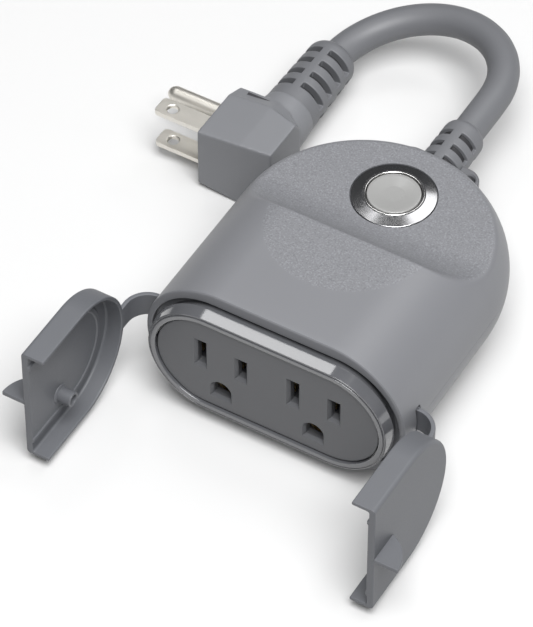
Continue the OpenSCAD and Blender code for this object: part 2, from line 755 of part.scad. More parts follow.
upper_shell();
lower_shell();
shell_seal();
case_screws();
outlet_collar();
outlet_face();
collar_seal();
contact_carrier();
hot_contact_left();
hot_contact_right();
neutral_contacts();
ground_contacts();
button_bezel();
bezel_rim();
button_cap();
button_stem();
button_seal();
button_board();
button_board_screws();
tact_switch();
switch_plunger();
status_led();
main_board();
board_screws();
relay_left();
relay_right();
power_converter();
bulk_capacitor();
fuse();
varistor();
wifi_board();
wifi_shield();
terminal_block();
hot_wire();
neutral_wire();
ground_wire();
hang_tab();
body_strain_relief();
cord_clamp();
clamp_screws();
left_cover();
right_cover();
left_strap();
right_strap();
left_strap_anchor();
right_strap_anchor();
power_cord();
plug_strain_relief();
plug_body();
plug_bridge();
hot_blade();
neutral_blade();
ground_pin();
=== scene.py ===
import bpy
import math
from mathutils import Matrix, Vector


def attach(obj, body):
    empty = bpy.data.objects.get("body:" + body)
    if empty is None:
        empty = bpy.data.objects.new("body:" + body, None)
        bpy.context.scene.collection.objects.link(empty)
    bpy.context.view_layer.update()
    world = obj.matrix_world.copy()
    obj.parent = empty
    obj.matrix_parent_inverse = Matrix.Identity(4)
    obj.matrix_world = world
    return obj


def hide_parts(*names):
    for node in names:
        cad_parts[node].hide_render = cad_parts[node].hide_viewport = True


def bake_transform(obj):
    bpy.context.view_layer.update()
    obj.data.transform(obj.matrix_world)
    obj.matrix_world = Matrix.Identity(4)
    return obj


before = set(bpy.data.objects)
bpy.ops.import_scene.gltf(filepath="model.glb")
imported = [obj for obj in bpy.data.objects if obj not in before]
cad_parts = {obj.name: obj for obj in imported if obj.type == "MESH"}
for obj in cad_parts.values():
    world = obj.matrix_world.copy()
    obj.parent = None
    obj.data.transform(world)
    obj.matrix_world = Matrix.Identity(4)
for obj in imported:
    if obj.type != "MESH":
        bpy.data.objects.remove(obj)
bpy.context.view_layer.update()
mm = 0.001
print("frame loaded")

# Camera: a long lens looking down at the outlets from the front right
cameraFacts = {"place": (0.3773, -0.6825, 0.8773), "aim": (0.00008, -0.040, 0.05462), "lens": 241.15}


def setCamera(facts):
    lens = bpy.data.cameras.new("viewLens")
    lens.lens = facts["lens"]
    lens.sensor_width = 36.0
    lens.clip_start = 0.05
    lens.clip_end = 20.0
    camera = bpy.data.objects.new("viewCamera", lens)
    bpy.context.scene.collection.objects.link(camera)
    camera.location = facts["place"]
    sight = Vector(facts["aim"]) - Vector(facts["place"])
    camera.rotation_euler = sight.to_track_quat("-Z", "Y").to_euler()
    bpy.context.scene.camera = camera


setCamera(cameraFacts)

# Main heights and planes of the object, in millimetres
midZ = 23.4
deckZ = 36.8
arcY = 13.2
crestY = 2.8
frontY = -35.8
buttonY = 29.9


# Hand tools: every step below works on one active mesh
def clearSelection():
    if bpy.context.object and bpy.context.object.mode != "OBJECT":
        bpy.ops.object.mode_set(mode="OBJECT")
    bpy.ops.object.select_all(action="DESELECT")


def pick(*pieces):
    clearSelection()
    for piece in pieces:
        piece.select_set(True)
    bpy.context.view_layer.objects.active = pieces[0]


def startEdit(piece, kind="VERT"):
    pick(piece)
    bpy.ops.object.mode_set(mode="EDIT")
    bpy.ops.mesh.select_mode(type=kind)
    bpy.ops.mesh.select_all(action="DESELECT")


def endEdit():
    bpy.ops.object.mode_set(mode="OBJECT")


def selectFaces(piece, test):
    bpy.ops.object.mode_set(mode="OBJECT")
    for v in piece.data.vertices:
        v.select = False
    for e in piece.data.edges:
        e.select = False
    for f in piece.data.polygons:
        f.select = bool(test(f.center / mm, f.normal))
    bpy.ops.object.mode_set(mode="EDIT")
    bpy.ops.mesh.select_mode(type="FACE")


# Welds doubled points and turns all faces outwards
def tidyMesh(piece, gap=0.002):
    startEdit(piece)
    bpy.ops.mesh.select_all(action="SELECT")
    bpy.ops.mesh.remove_doubles(threshold=gap * mm)
    bpy.ops.mesh.normals_make_consistent(inside=False)
    endEdit()


def smooth(piece, angle=35):
    pick(piece)
    bpy.ops.mesh.customdata_custom_splitnormals_clear()
    bpy.ops.object.shade_smooth_by_angle(angle=math.radians(angle))
    modify(piece, "WEIGHTED_NORMAL", keep_sharp=True, weight=50)


# A rule takes and gives a place in millimetres
def moveVerts(piece, rule):
    for v in piece.data.vertices:
        v.co = Vector(rule(v.co / mm)) * mm
    piece.data.update()


def modify(piece, kind, **settings):
    pick(piece)
    step = piece.modifiers.new("step", kind)
    for key, value in settings.items():
        setattr(step, key, value)
    bpy.ops.object.modifier_apply(modifier=step.name)


def cut(piece, tool, operation="DIFFERENCE"):
    modify(piece, "BOOLEAN", operation=operation, object=tool, solver="EXACT")
    bpy.data.objects.remove(tool)


def joined(name, *pieces):
    pick(*pieces)
    bpy.ops.object.join()
    pieces[0].name = name
    return pieces[0]


def copyOf(piece, name):
    pick(piece)
    bpy.ops.object.duplicate()
    twin = bpy.context.object
    twin.name = name
    return twin


def mirrored(piece, name):
    twin = copyOf(piece, name)
    bpy.ops.object.mode_set(mode="EDIT")
    bpy.ops.mesh.select_all(action="SELECT")
    bpy.ops.transform.resize(value=(-1, 1, 1), center_override=(0, 0, 0))
    bpy.ops.mesh.normals_make_consistent(inside=False)
    endEdit()
    smooth(twin, 40)
    return twin


def block(name, low, high):
    clearSelection()
    middle = [(a + b) / 2 * mm for a, b in zip(low, high)]
    bpy.ops.mesh.primitive_cube_add(size=1, location=(0, 0, 0))
    piece = bpy.context.object
    piece.name = name
    bpy.ops.object.mode_set(mode="EDIT")
    bpy.ops.mesh.select_all(action="SELECT")
    bpy.ops.transform.resize(value=[(b - a) * mm for a, b in zip(low, high)])
    bpy.ops.transform.translate(value=middle)
    endEdit()
    return piece


def roundEdges(piece, width, segments=3, angle=35):
    modify(piece, "BEVEL", width=width * mm, segments=segments, limit_method="ANGLE",
           angle_limit=math.radians(angle), harden_normals=False)


# A profile is a list of (radius, height, corner radius)
def easedProfile(corners, parts=5):
    points = []
    last = len(corners) - 1
    for i, (r, h, bend) in enumerate(corners):
        here = Vector((r, h))
        if bend <= 0 or i in (0, last):
            points.append(here)
            continue
        before = Vector(corners[i - 1][:2]) - here
        after = Vector(corners[i + 1][:2]) - here
        half = before.angle(after) / 2
        reach = min(bend / math.tan(half), before.length * 0.49, after.length * 0.49)
        a = here + before.normalized() * reach
        b = here + after.normalized() * reach
        for k in range(parts + 1):
            t = k / parts
            points.append((1 - t) ** 2 * a + 2 * t * (1 - t) * here + t * t * b)
    return points


def drawLine(name, points):
    clearSelection()
    bpy.ops.mesh.primitive_plane_add(size=mm, location=(0, 0, 0))
    piece = bpy.context.object
    piece.name = name
    bpy.ops.object.mode_set(mode="EDIT")
    bpy.ops.mesh.select_mode(type="VERT")
    bpy.ops.mesh.select_all(action="SELECT")
    bpy.ops.mesh.merge(type="CENTER")
    places = [Vector(p) * mm for p in points]
    bpy.ops.transform.translate(value=places[0])
    for a, b in zip(places, places[1:]):
        bpy.ops.mesh.extrude_region_move(TRANSFORM_OT_translate={"value": b - a})
    return piece


# Turns a profile round a centre; axis is "X", "Y" or "Z"
def turned(name, corners, centre, axis="Z", steps=96, parts=5):
    profile = easedProfile(corners, parts)
    tilt = math.pi / steps
    c, s = math.cos(tilt), math.sin(tilt)
    if axis == "Z":
        points = [(centre[0] + p[0] * c, centre[1] + p[0] * s, p[1]) for p in profile]
    elif axis == "Y":
        points = [(centre[0] + p[0] * c, p[1], centre[2] + p[0] * s) for p in profile]
    else:
        points = [(p[1], centre[1] + p[0] * c, centre[2] + p[0] * s) for p in profile]
    piece = drawLine(name, points)
    spinAxis = {"X": (1, 0, 0), "Y": (0, 1, 0), "Z": (0, 0, 1)}[axis]
    bpy.ops.mesh.select_all(action="SELECT")
    bpy.ops.mesh.spin(steps=steps, angle=2 * math.pi, center=[v * mm for v in centre], axis=spinAxis)
    endEdit()
    tidyMesh(piece)
    return piece


# A turned shape pulled apart at its middle into a stadium with a straight part
def stretched(name, corners, core, steps=144, parts=5):
    piece = turned(name, corners, (0, 0, midZ), "Y", steps, parts)
    moveVerts(piece, lambda p: (p.x + math.copysign(core, p.x) * (abs(p.x) > 0.001), p.y, p.z))
    return piece


# Cord: short, stiff and in full view, so it keeps the loop it was bent to
cordFacts = {"diameter": 9.5, "plugX": -53.6, "plugZ": 12.0, "start": 42.5, "loopY": 88.8, "end": 60.0}


def cordRoute(facts):
    reach = -facts["plugX"] / 2
    route = [(0, y, midZ) for y in (facts["start"], 52, 61, 70, 79)]
    for k in range(0, 16):
        a = math.radians(12 * k)
        drop = (1 + math.cos(math.pi * (k / 15) ** 1.3)) / 2
        route.append((reach * (math.cos(a) - 1), facts["loopY"] + reach * math.sin(a),
                      facts["plugZ"] + (midZ - facts["plugZ"]) * drop))
    route += [(facts["plugX"], y, facts["plugZ"]) for y in (82, 75, 68, facts["end"])]
    return [Vector(p) * mm for p in route]


def makeCord(facts):
    route = cordRoute(facts)
    line = bpy.data.curves.new("powerCord", "CURVE")
    line.dimensions = "3D"
    strand = line.splines.new("NURBS")
    strand.points.add(len(route) - 1)
    for point, place in zip(strand.points, route):
        point.co = (*place, 1)
    strand.use_endpoint_u = True
    strand.order_u = 3
    strand.resolution_u = 6
    line.bevel_depth = facts["diameter"] / 2 * mm
    line.bevel_resolution = 10
    line.use_fill_caps = True
    clearSelection()
    cord = bpy.data.objects.new("powerCord", line)
    bpy.context.scene.collection.objects.link(cord)
    pick(cord)
    bpy.ops.object.convert(target="MESH")
    cord = bpy.context.object
    cord.name = "powerCordSkin"
    tidyMesh(cord)
    smooth(cord, 60)
    return cord, route


powerCord, cordPath = makeCord(cordFacts)
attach(powerCord, "housing")
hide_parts("power_cord")
print("cord made")


# Housing: one cushion with a dished rear deck, split into two halves
housingFacts = {"core": 17.1, "radius": 23.4, "wall": 2.5, "crestSoft": 1.5, "rampRun": 17.0,
                "rampRadius": 19.45, "seamGap": 0.1, "lipCore": 19.0, "lipRadius": 19.65, "lipBack": -33.8}
screwPlaces = ((-31, -12), (31, -12), (-27, 24), (27, 24))


# Height of the top over its length: low deck behind, a curved ramp, then a steep rise
def deckHeight(y, inset, facts):
    base = deckZ - inset
    radius = facts["rampRadius"] + inset
    foot = crestY + facts["rampRun"]
    if y >= foot:
        return base
    if y >= crestY - inset:
        return base + radius - math.sqrt(max(radius ** 2 - (y - foot) ** 2, 0.01))
    edge = base + radius - math.sqrt(max(radius ** 2 - (crestY - inset - foot) ** 2, 0.01))
    return edge + (crestY - inset - y) * 1.8


# The lower of two heights, with the corner between them rounded
def softLower(a, b, reach):
    gap = max(reach - abs(a - b), 0.0) / reach
    return min(a, b) - gap * gap * reach / 4


def cushion(name, inset, fine, facts):
    core = facts["core"]
    radius = facts["radius"] - inset
    across = int(17 * fine) + 3
    around = int(120 * fine)
    profile = [(core * k / across, arcY, midZ + radius) for k in range(across + 1)]
    for k in range(1, around + 1):
        a = math.pi / 2 - math.pi * k / around
        profile.append((core + radius * math.cos(a), arcY, midZ + radius * math.sin(a)))
    profile += [(core * (1 - k / 4), arcY, midZ - radius) for k in range(1, 5)]
    piece = drawLine(name, profile)
    bpy.ops.mesh.select_all(action="SELECT")
    bpy.ops.mesh.spin(steps=int(160 * fine), angle=math.pi, center=(0, arcY * mm, 0), axis=(0, 0, -1))
    bpy.ops.mesh.select_all(action="SELECT")
    bpy.ops.mesh.remove_doubles(threshold=0.002 * mm)
    return piece


def pushRow(y, here):
    bpy.ops.mesh.extrude_region_move(TRANSFORM_OT_translate={"value": (0, (y - here) * mm, 0)})
    return y


# Moves the front loop from one stadium to another
def reshapeLoop(piece, y, fromCore, fromRadius, toCore, toRadius):
    bpy.ops.object.mode_set(mode="OBJECT")
    for v in piece.data.vertices:
        if v.select:
            p = v.co / mm
            x0 = max(-fromCore, min(fromCore, p.x))
            out = Vector((p.x - x0, p.z - midZ)) / fromRadius
            v.co = Vector((x0 * toCore / fromCore + out.x * toRadius, y, midZ + out.y * toRadius)) * mm
    bpy.ops.object.mode_set(mode="EDIT")


def openLoop():
    bpy.ops.mesh.select_all(action="DESELECT")
    bpy.ops.mesh.select_non_manifold(extend=False, use_wire=False, use_boundary=True,
                                     use_multi_face=False, use_non_contiguous=False, use_verts=False)


def makeOuterCushion(facts):
    piece = cushion("outerCushion", 0, 1.0, facts)
    openLoop()
    here = arcY
    while here > 4.6:
        here = pushRow(here - 0.5, here)
    while here > 0.4:
        here = pushRow(here - 0.3, here)
    while here > frontY + 2:
        here = pushRow(max(here - 1.6, frontY + 0.8), here)
    core, radius = facts["core"], facts["radius"]
    lipCore, lipRadius, lipBack = facts["lipCore"], facts["lipRadius"], facts["lipBack"]
    rows = [(frontY + 0.35, core, radius - 0.08), (frontY + 0.1, core, radius - 0.3),
            (frontY, core, radius - 0.6), (frontY, lipCore, lipRadius + 0.3),
            (frontY + 0.08, lipCore, lipRadius + 0.1), (frontY + 0.3, lipCore, lipRadius),
            (lipBack - 0.1, lipCore, lipRadius), (lipBack, lipCore, lipRadius - 0.15),
            (lipBack, lipCore, lipRadius - 3.65)]
    for y, newCore, newRadius in rows:
        pushRow(y, here)
        reshapeLoop(piece, y, core, radius, newCore, newRadius)
        here, core, radius = y, newCore, newRadius
    bpy.ops.mesh.fill()
    endEdit()
    soft = facts["crestSoft"]
    moveVerts(piece, lambda p: (p.x, p.y, softLower(p.z, deckHeight(p.y, 0, facts), soft)
                                if p.z > midZ and p.y > frontY + 0.5 else p.z))
    tidyMesh(piece)
    return piece


def makeInnerCushion(facts):
    inset = facts["wall"]
    piece = cushion("innerCushion", inset, 0.4, facts)
    openLoop()
    here = arcY
    for y in (10, 7, 4, 2.5, 1, -0.5, -3, -10, -20, -29.3):
        here = pushRow(y, here)
    bpy.ops.mesh.fill()
    endEdit()
    moveVerts(piece, lambda p: (p.x, p.y, softLower(p.z, deckHeight(p.y, inset, facts), 1.0)
                                if p.z > midZ else p.z))
    tidyMesh(piece)
    return piece


def roundPost(name, x, y, low, high, radius, steps=48):
    corners = [(0, low, 0), (radius, low, 0), (radius, high, 0), (0, high, 0)]
    return turned(name, corners, (x, y, 0), "Z", steps)


# Holes in the housing: button well, outlet throat, strap slits, ear slot and cord hole
openingFacts = {"wellR": 12.4, "wellHoleR": 11.0, "throatR": 17.5, "slitX": 39.5, "slitY": -28.15,
                "slitHalf": 1.3, "earHalf": 13.5, "earThick": 2.2, "reliefR": 6.75, "screwWellR": 3.0,
                "screwWellTop": 11}


def cordHole(name, radius, start, end):
    corners = [(0, start, 0), (radius, start, 0), (radius, end, 0), (0, end, 0)]
    return turned(name, corners, (0, 0, midZ), "Y", 96)


def makeHousing(facts, holes):
    body = makeOuterCushion(facts)
    cut(body, makeInnerCushion(facts))
    cut(body, roundPost("well", 0, buttonY, deckZ - 1.1, deckZ + 4, holes["wellR"], 128))
    cut(body, roundPost("wellHole", 0, buttonY, deckZ - 5, deckZ + 2, holes["wellHoleR"], 96))
    throat = [(0, -34.5, 0), (holes["throatR"], -34.5, 0), (holes["throatR"], -28, 0), (0, -28, 0)]
    cut(body, stretched("throat", throat, facts["lipCore"], 96))
    for side in (-1, 1):
        slit = block("slit", (-3, holes["slitY"] - holes["slitHalf"], 19.1),
                     (3, holes["slitY"] + holes["slitHalf"], 28.5))
        roundEdges(slit, 0.7, 3)
        moveVerts(slit, lambda p: (p.x + side * holes["slitX"], p.y, p.z))
        cut(body, slit)
    earHalf, earThick = holes["earHalf"], holes["earThick"]
    earSlot = block("earSlot", (-earHalf, 46, midZ - earThick), (earHalf, 60, midZ + earThick))
    roundEdges(earSlot, 0.6, 3)
    cut(body, earSlot)
    cut(body, cordHole("reliefHole", holes["reliefR"], 44, 60))
    lower = copyOf(body, "lowerShellSkin")
    gap = facts["seamGap"] / 2
    cut(body, block("cutLow", (-60, -60, -10), (60, 80, midZ + gap)))
    cut(lower, block("cutHigh", (-60, -60, midZ - gap), (60, 80, 70)))
    for x, y in screwPlaces:
        cut(lower, roundPost("screwWell", x, y, -1, holes["screwWellTop"], holes["screwWellR"], 40))
    body.name = "upperShellSkin"
    for shell in (body, lower):
        smooth(shell, 32)
    return body, lower


upperShell, lowerShell = makeHousing(housingFacts, openingFacts)
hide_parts("upper_shell")
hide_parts("lower_shell")
for shell in (upperShell, lowerShell):
    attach(shell, "housing")
print("housing made")


# Screw posts inside the lower half, so that its screws sit in something
postFacts = {"hole": 1.75, "radius": 4.1, "foot": 11.0, "top": midZ - 0.1}


def makeScrewPosts(facts):
    hole, radius, foot, top = facts["hole"], facts["radius"], facts["foot"], facts["top"]
    corners = [(hole, foot, 0), (radius, foot, 0.2), (radius, top, 0.2), (hole, top, 0), (hole, foot, 0)]
    posts = []
    for x, y in screwPlaces:
        posts.append(turned("screwPost", corners, (x, y, 0), "Z", 48))
    group = joined("screwPosts", *posts)
    smooth(group)
    return group


screwPosts = makeScrewPosts(postFacts)
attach(screwPosts, "housing")


# Collar and face
collarFacts = {"core": 19.0, "radius": 18.8, "front": -40.5, "back": -33.8}


def makeCollar(facts):
    r = facts["radius"]
    f = facts["front"]
    corners = [(14.6, -36.9, 0), (16.0, -36.9, 0), (16.0, f + 0.05, 0.25), (17.35, f, 0.15),
               (17.42, f + 0.35, 0.05), (17.72, f + 0.35, 0.05), (17.8, f + 0.08, 0.08),
               (18.15, f + 0.2, 0.12), (r, -36.65, 0.15), (18.3, -36.45, 0.1), (18.3, facts["back"] + 0.1, 0),
               (21.0, facts["back"] + 0.1, 0), (21.0, -32.0, 0), (14.6, -32.0, 0), (14.6, -36.9, 0)]
    collar = stretched("outletCollarSkin", corners, facts["core"], 160, 5)
    moveVerts(collar, lambda p: (p.x - math.copysign(2.0, p.x) * (abs(p.y + 32.9) < 1.0) *
                                 (abs(p.x) > 0.01), p.y, p.z))  # the hidden flange is narrower
    smooth(collar, 28)
    return collar


outletCollar = makeCollar(collarFacts)
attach(outletCollar, "housing")
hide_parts("outlet_collar")

faceFacts = {"core": 19.0, "radius": 15.6, "front": -39.8, "thick": 3.0, "pitch": 29.0, "slotGap": 12.7,
             "slotZ": 26.6, "groundZ": 14.7, "groundR": 2.65, "groundLeadIn": 1.0, "slotWide": 2.5,
             "tall": (8.9, 7.2), "leadIn": 0.8, "mouth": 1.0}


# A straight hole with a sloping mouth, as a solid to cut with
def slotTool(x, z, wide, tall, facts):
    front = facts["front"]
    spread = facts["leadIn"]
    deep = facts["mouth"]
    left, right, low, high = x - wide / 2, x + wide / 2, z - tall / 2, z + tall / 2
    hole = block("slotTool", (left, front - 1, low), (right, front + 6, high))
    mouth = block("slotMouth", (left, front - 0.3, low), (right, front + deep, high))
    grow = 1 + 0.3 / deep
    moveVerts(mouth, lambda p: (p.x + math.copysign(spread * grow, p.x - x) * (p.y < front),
                                p.y, p.z + math.copysign(spread * grow, p.z - z) * (p.y < front)))
    return hole, mouth


# A ground hole is round above and square below; spread widens its front end
def groundTool(x, z, radius, spread, front, back):
    clearSelection()
    bpy.ops.mesh.primitive_cylinder_add(vertices=64, radius=radius * mm, depth=1 * mm, location=(0, 0, 0))
    piece = bpy.context.object
    piece.name = "groundTool"
    moveVerts(piece, lambda p: (p.x, p.z, p.y))

    def shape(p):
        grown = radius + (spread if p.y < 0 else 0)
        k = grown / radius
        y = front if p.y < 0 else back
        if p.z >= 0:
            return (x + p.x * k, y, z + p.z * k)
        out = math.copysign(grown, p.x) if abs(p.x) > 1.2 else p.x * k
        return (x + out, y, z + max(p.z * 3, -radius) * k)
    moveVerts(piece, shape)
    tidyMesh(piece)
    return piece


def makeFace(facts):
    front = facts["front"]
    corners = [(0, front + facts["thick"], 0), (facts["radius"], front + facts["thick"], 0),
               (facts["radius"], front, 0.35), (0, front, 0)]
    face = stretched("outletFaceSkin", corners, facts["core"], 160, 4)
    for side in (-1, 1):
        x = side * facts["pitch"] / 2
        for hand, tall in zip((-1, 1), facts["tall"]):
            slotX = x + hand * facts["slotGap"] / 2
            for tool in slotTool(slotX, facts["slotZ"], facts["slotWide"], tall, facts):
                cut(face, tool)
        z, radius = facts["groundZ"], facts["groundR"]
        cut(face, groundTool(x, z, radius, 0, front - 1, front + 6))
        cut(face, groundTool(x, z, radius, facts["groundLeadIn"], front - 0.3, front + facts["mouth"]))
    smooth(face, 25)
    return face


outletFace = makeFace(faceFacts)
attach(outletFace, "housing")
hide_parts("outlet_face")
print("outlets made")


# Button
buttonFacts = {"bezel": 12.1, "rimOut": 8.65, "rimIn": 7.95, "cap": 7.65, "top": 37.8}


def makeButton(facts):
    top, wide, hole = facts["top"], facts["bezel"], facts["rimOut"]
    rimIn, rimOut, capR = facts["rimIn"], facts["rimOut"] - 0.03, facts["cap"]
    centre = (0, buttonY, 0)
    bezelLine = [(hole, 32.3, 0), (10.9, 32.3, 0.2), (10.9, 35.8, 0), (wide, 35.8, 0.1),
                 (wide, deckZ - 0.02, 0.22), (8.9, top - 0.12, 0.15), (hole, top - 0.12, 0), (hole, 32.3, 0)]
    rimLine = [(rimIn, 33.3, 0), (rimOut, 33.3, 0), (rimOut, top + 0.06, 0.22), (rimIn, top + 0.06, 0.22),
               (rimIn, 33.3, 0)]
    capLine = [(0, top - 3, 0), (capR, top - 3, 0.2), (capR, top - 0.02, 0.45), (6.6, top - 0.05, 0.6),
               (3.0, top - 0.42, 3.0), (0, top - 0.5, 0)]
    bezel = turned("buttonBezelSkin", bezelLine, centre, "Z", 160, 5)
    rim = turned("bezelRimSkin", rimLine, centre, "Z", 160, 5)
    cap = turned("buttonCapSkin", capLine, centre, "Z", 160, 6)
    for piece in (bezel, rim, cap):
        smooth(piece, 30)
    return bezel, rim, cap


buttonBezel, bezelRim, buttonCap = makeButton(buttonFacts)
for piece, body, node, slotName in ((buttonBezel, "housing", "button_bezel", "bezel"),
                                    (bezelRim, "housing", "bezel_rim", "rim"),
                                    (buttonCap, "button", "button_cap", "cap")):
    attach(piece, body)
    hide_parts(node)
print("button made")


# Ears behind the housing
earFacts = {"thick": 4.0, "half": 13.3, "root": 48.7, "end": 59.6, "corner": 5.0, "edge": 0.6,
            "holeX": 9.9, "holeY": 55.6, "holeR": 1.9, "mouthR": 3.1, "cordR": 6.6}


def makeEars(facts):
    half = facts["thick"] / 2
    top, bottom = midZ + half, midZ - half
    plate = block("hangEarsSkin", (-facts["half"], facts["root"], bottom), (facts["half"], facts["end"], top))
    startEdit(plate, "EDGE")
    bpy.ops.object.mode_set(mode="OBJECT")
    for e in plate.data.edges:
        a, b = (plate.data.vertices[i].co / mm for i in e.vertices)
        e.select = a.y > 55 and b.y > 55 and abs(a.x - b.x) < 0.1 and abs(a.y - b.y) < 0.1
    bpy.ops.object.mode_set(mode="EDIT")
    bpy.ops.mesh.bevel(offset=facts["corner"] * mm, segments=12)
    endEdit()
    roundEdges(plate, facts["edge"], 4)
    r, mouth = facts["holeR"], facts["mouthR"]
    for side in (-1, 1):
        hole = [(0, bottom - 1, 0), (mouth, bottom - 1, 0), (r, bottom + 0.5, 0.3), (r, top - 0.5, 0.3),
                (mouth, top + 1, 0), (0, top + 1, 0)]
        cut(plate, turned("hangHole", hole, (side * facts["holeX"], facts["holeY"], 0), "Z", 64))
    cut(plate, cordHole("earHole", facts["cordR"], 44, 70))
    smooth(plate, 35)
    return plate


hangEars = makeEars(earFacts)
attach(hangEars, "housing")
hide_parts("hang_tab")


# Slotted strain reliefs
bodyReliefFacts = {"x": 0, "z": 23.4, "start": 46.7, "end": 72.8, "r0": 6.5, "r1": 6.3, "tip": 2.4,
                   "rows": (56.0, 61.1, 66.2), "wide": 2.2, "spine": 2.8, "core": 5.0}
plugReliefFacts = {"x": -53.6, "z": 12.0, "start": 58.0, "end": 91.0, "r0": 8.4, "r1": 7.7, "tip": 3.0,
                   "rows": (69.6, 74.8, 80.2, 85.3), "wide": 2.3, "spine": 3.0, "core": 5.3}


def makeRelief(name, facts):
    rows = []
    for y in facts["rows"]:
        rows += [y - facts["wide"] / 2, y + facts["wide"] / 2]
    tipStart = facts["end"] - facts["tip"]

    def radiusAt(y):
        return facts["r0"] + (facts["r1"] - facts["r0"]) * (y - facts["start"]) / (tipStart - facts["start"])
    stations = [facts["start"], facts["start"] + 6] + rows + [tipStart]
    corners = [(0, facts["start"], 0)] + [(radiusAt(y), y, 0) for y in stations]
    sweep = 78  # degrees of arc in the rounded tip
    for k in range(1, 9):
        a = math.radians(k * sweep / 8)
        corners.append((facts["r1"] - facts["tip"] * 0.75 * (1 - math.cos(a)),
                        tipStart + facts["tip"] * math.sin(a) / math.sin(math.radians(sweep)), 0))
    corners.append((4.6, facts["end"], 0))
    corners.append((4.4, facts["end"] - 1.5, 0))
    corners.append((0, facts["end"] - 1.5, 0))
    relief = turned(name, corners, (facts["x"], 0, facts["z"]), "Y", 96)
    centre = (facts["x"] * mm, 0, facts["z"] * mm)

    def inSlot(c, n):
        if not any(abs(c.y - y) < facts["wide"] / 2 - 0.1 for y in facts["rows"]):
            return False
        dx, dz = c.x - facts["x"], c.z - facts["z"]
        return math.hypot(dx, dz) > 4 and min(abs(dx), abs(dz)) > facts["spine"] / 2
    startEdit(relief, "FACE")
    selectFaces(relief, inSlot)
    bpy.ops.mesh.extrude_region_move(TRANSFORM_OT_translate={"value": (0, 0, 0)})
    keep = facts["core"] / ((facts["r0"] + facts["r1"]) / 2)
    bpy.ops.transform.resize(value=(keep, 1, keep), center_override=centre)
    endEdit()
    roundEdges(relief, 0.3, 3, 40)
    smooth(relief, 45)
    return relief


bodyRelief = makeRelief("bodyReliefSkin", bodyReliefFacts)
plugRelief = makeRelief("plugReliefSkin", plugReliefFacts)
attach(bodyRelief, "housing")
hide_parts("body_strain_relief")
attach(plugRelief, "housing")
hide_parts("plug_strain_relief")
print("strain reliefs made")


# Plug: moulded block with a creased side and a hump that carries the cord
plugFacts = {"face": -67.4, "back": -43.5, "crease": -53.3, "front": 35.5, "rear": 60.0, "height": 24.0,
             "ridge": 53.4, "grain": 0.32, "softSteps": 16}
bladeFacts = {"y": 42.6, "pitch": 12.7, "wide": 6.34, "thick": 1.52, "tip": -84.4, "root": -58.5,
              "corner": 1.3, "holeX": -79.8, "holeR": 1.7, "holeMouth": 2.1,
              "slitWide": 6.5, "slitThick": 1.7}
pinFacts = {"y": 54.5, "z": 12, "radius": 2.38, "rootR": 2.0, "start": -58.4, "end": -85.6, "nose": 2.8}


def makePlugBody(facts, blades):
    plug = block("plugBodySkin", (facts["face"], facts["front"], 0),
                 (facts["back"], facts["rear"], facts["height"]))
    startEdit(plug)
    bpy.ops.mesh.select_all(action="SELECT")
    bpy.ops.mesh.bisect(plane_co=(facts["crease"] * mm, 0, 0), plane_no=(1, 0, 0))
    bpy.ops.mesh.select_all(action="SELECT")
    bpy.ops.mesh.bisect(plane_co=(0, facts["ridge"] * mm, 0), plane_no=(0, 1, 0))
    endEdit()
    half = facts["height"] / 2

    def shape(p):
        x, y, z = p
        up = z - half
        if x < facts["crease"] - 1:
            up *= 10.4 / 12
        if y > 59:
            up *= 8.2 / 12 if x > facts["face"] + 1 else 7.6 / 12 * 12 / 10.4
            if x > facts["crease"] + 1:
                y -= 6.5
        if x > facts["crease"] + 1 and 50 < y < 55 and abs(up) > 11:
            y -= 2.6
        if x > facts["crease"] + 1 and y < 40:
            y += 1.0
        return (x, y, half + up)
    moveVerts(plug, shape)
    humpLine = [(0, 45, 0), (8.4, 45, 0), (8.7, 50, 3), (8.9, 57, 3), (8.7, 60.2, 2),
                (8.4, 64, 0), (0, 64, 0)]
    hump = turned("plugHump", humpLine, (cordFacts["plugX"], 0, cordFacts["plugZ"]), "Y", 96)
    plug = joined("plugBodySkin", plug, hump)
    modify(plug, "REMESH", mode="VOXEL", voxel_size=facts["grain"] * mm)
    modify(plug, "SMOOTH", factor=0.5, iterations=facts["softSteps"])
    for side in (-1, 1):
        z = half + side * blades["pitch"] / 2
        wide, thick = blades["slitWide"] / 2, blades["slitThick"] / 2
        cut(plug, block("bladeSlit", (-69, blades["y"] - wide, z - thick),
                        (-58, blades["y"] + wide, z + thick)))
    smooth(plug, 40)
    return plug


plugBody = makePlugBody(plugFacts, bladeFacts)


def makeBlade(name, side, facts):
    z = plugFacts["height"] / 2 + side * facts["pitch"] / 2
    y, wide, thick = facts["y"], facts["wide"] / 2, facts["thick"] / 2
    blade = block(name, (facts["tip"], y - wide, z - thick), (facts["root"], y + wide, z + thick))
    startEdit(blade, "EDGE")
    bpy.ops.object.mode_set(mode="OBJECT")
    for e in blade.data.edges:
        a, b = (blade.data.vertices[i].co / mm for i in e.vertices)
        e.select = a.x < -80 and b.x < -80 and abs(a.y - b.y) < 0.1
    bpy.ops.object.mode_set(mode="EDIT")
    bpy.ops.mesh.bevel(offset=facts["corner"] * mm, segments=3)
    endEdit()
    hole, mouth = facts["holeR"], facts["holeMouth"]
    cut(blade, roundPost("bladeHole", facts["holeX"], y, z - 3, z + 3, hole, 48))
    for low, first, last in ((z + 0.5, hole, mouth), (z - 1.0, mouth, hole)):
        flare = [(0, low, 0), (first, low, 0), (last, low + 0.5, 0), (0, low + 0.5, 0)]
        cut(blade, turned("holeEdge", flare, (facts["holeX"], y, 0), "Z", 48))
    roundEdges(blade, 0.12, 2, 50)
    smooth(blade, 30)
    return blade


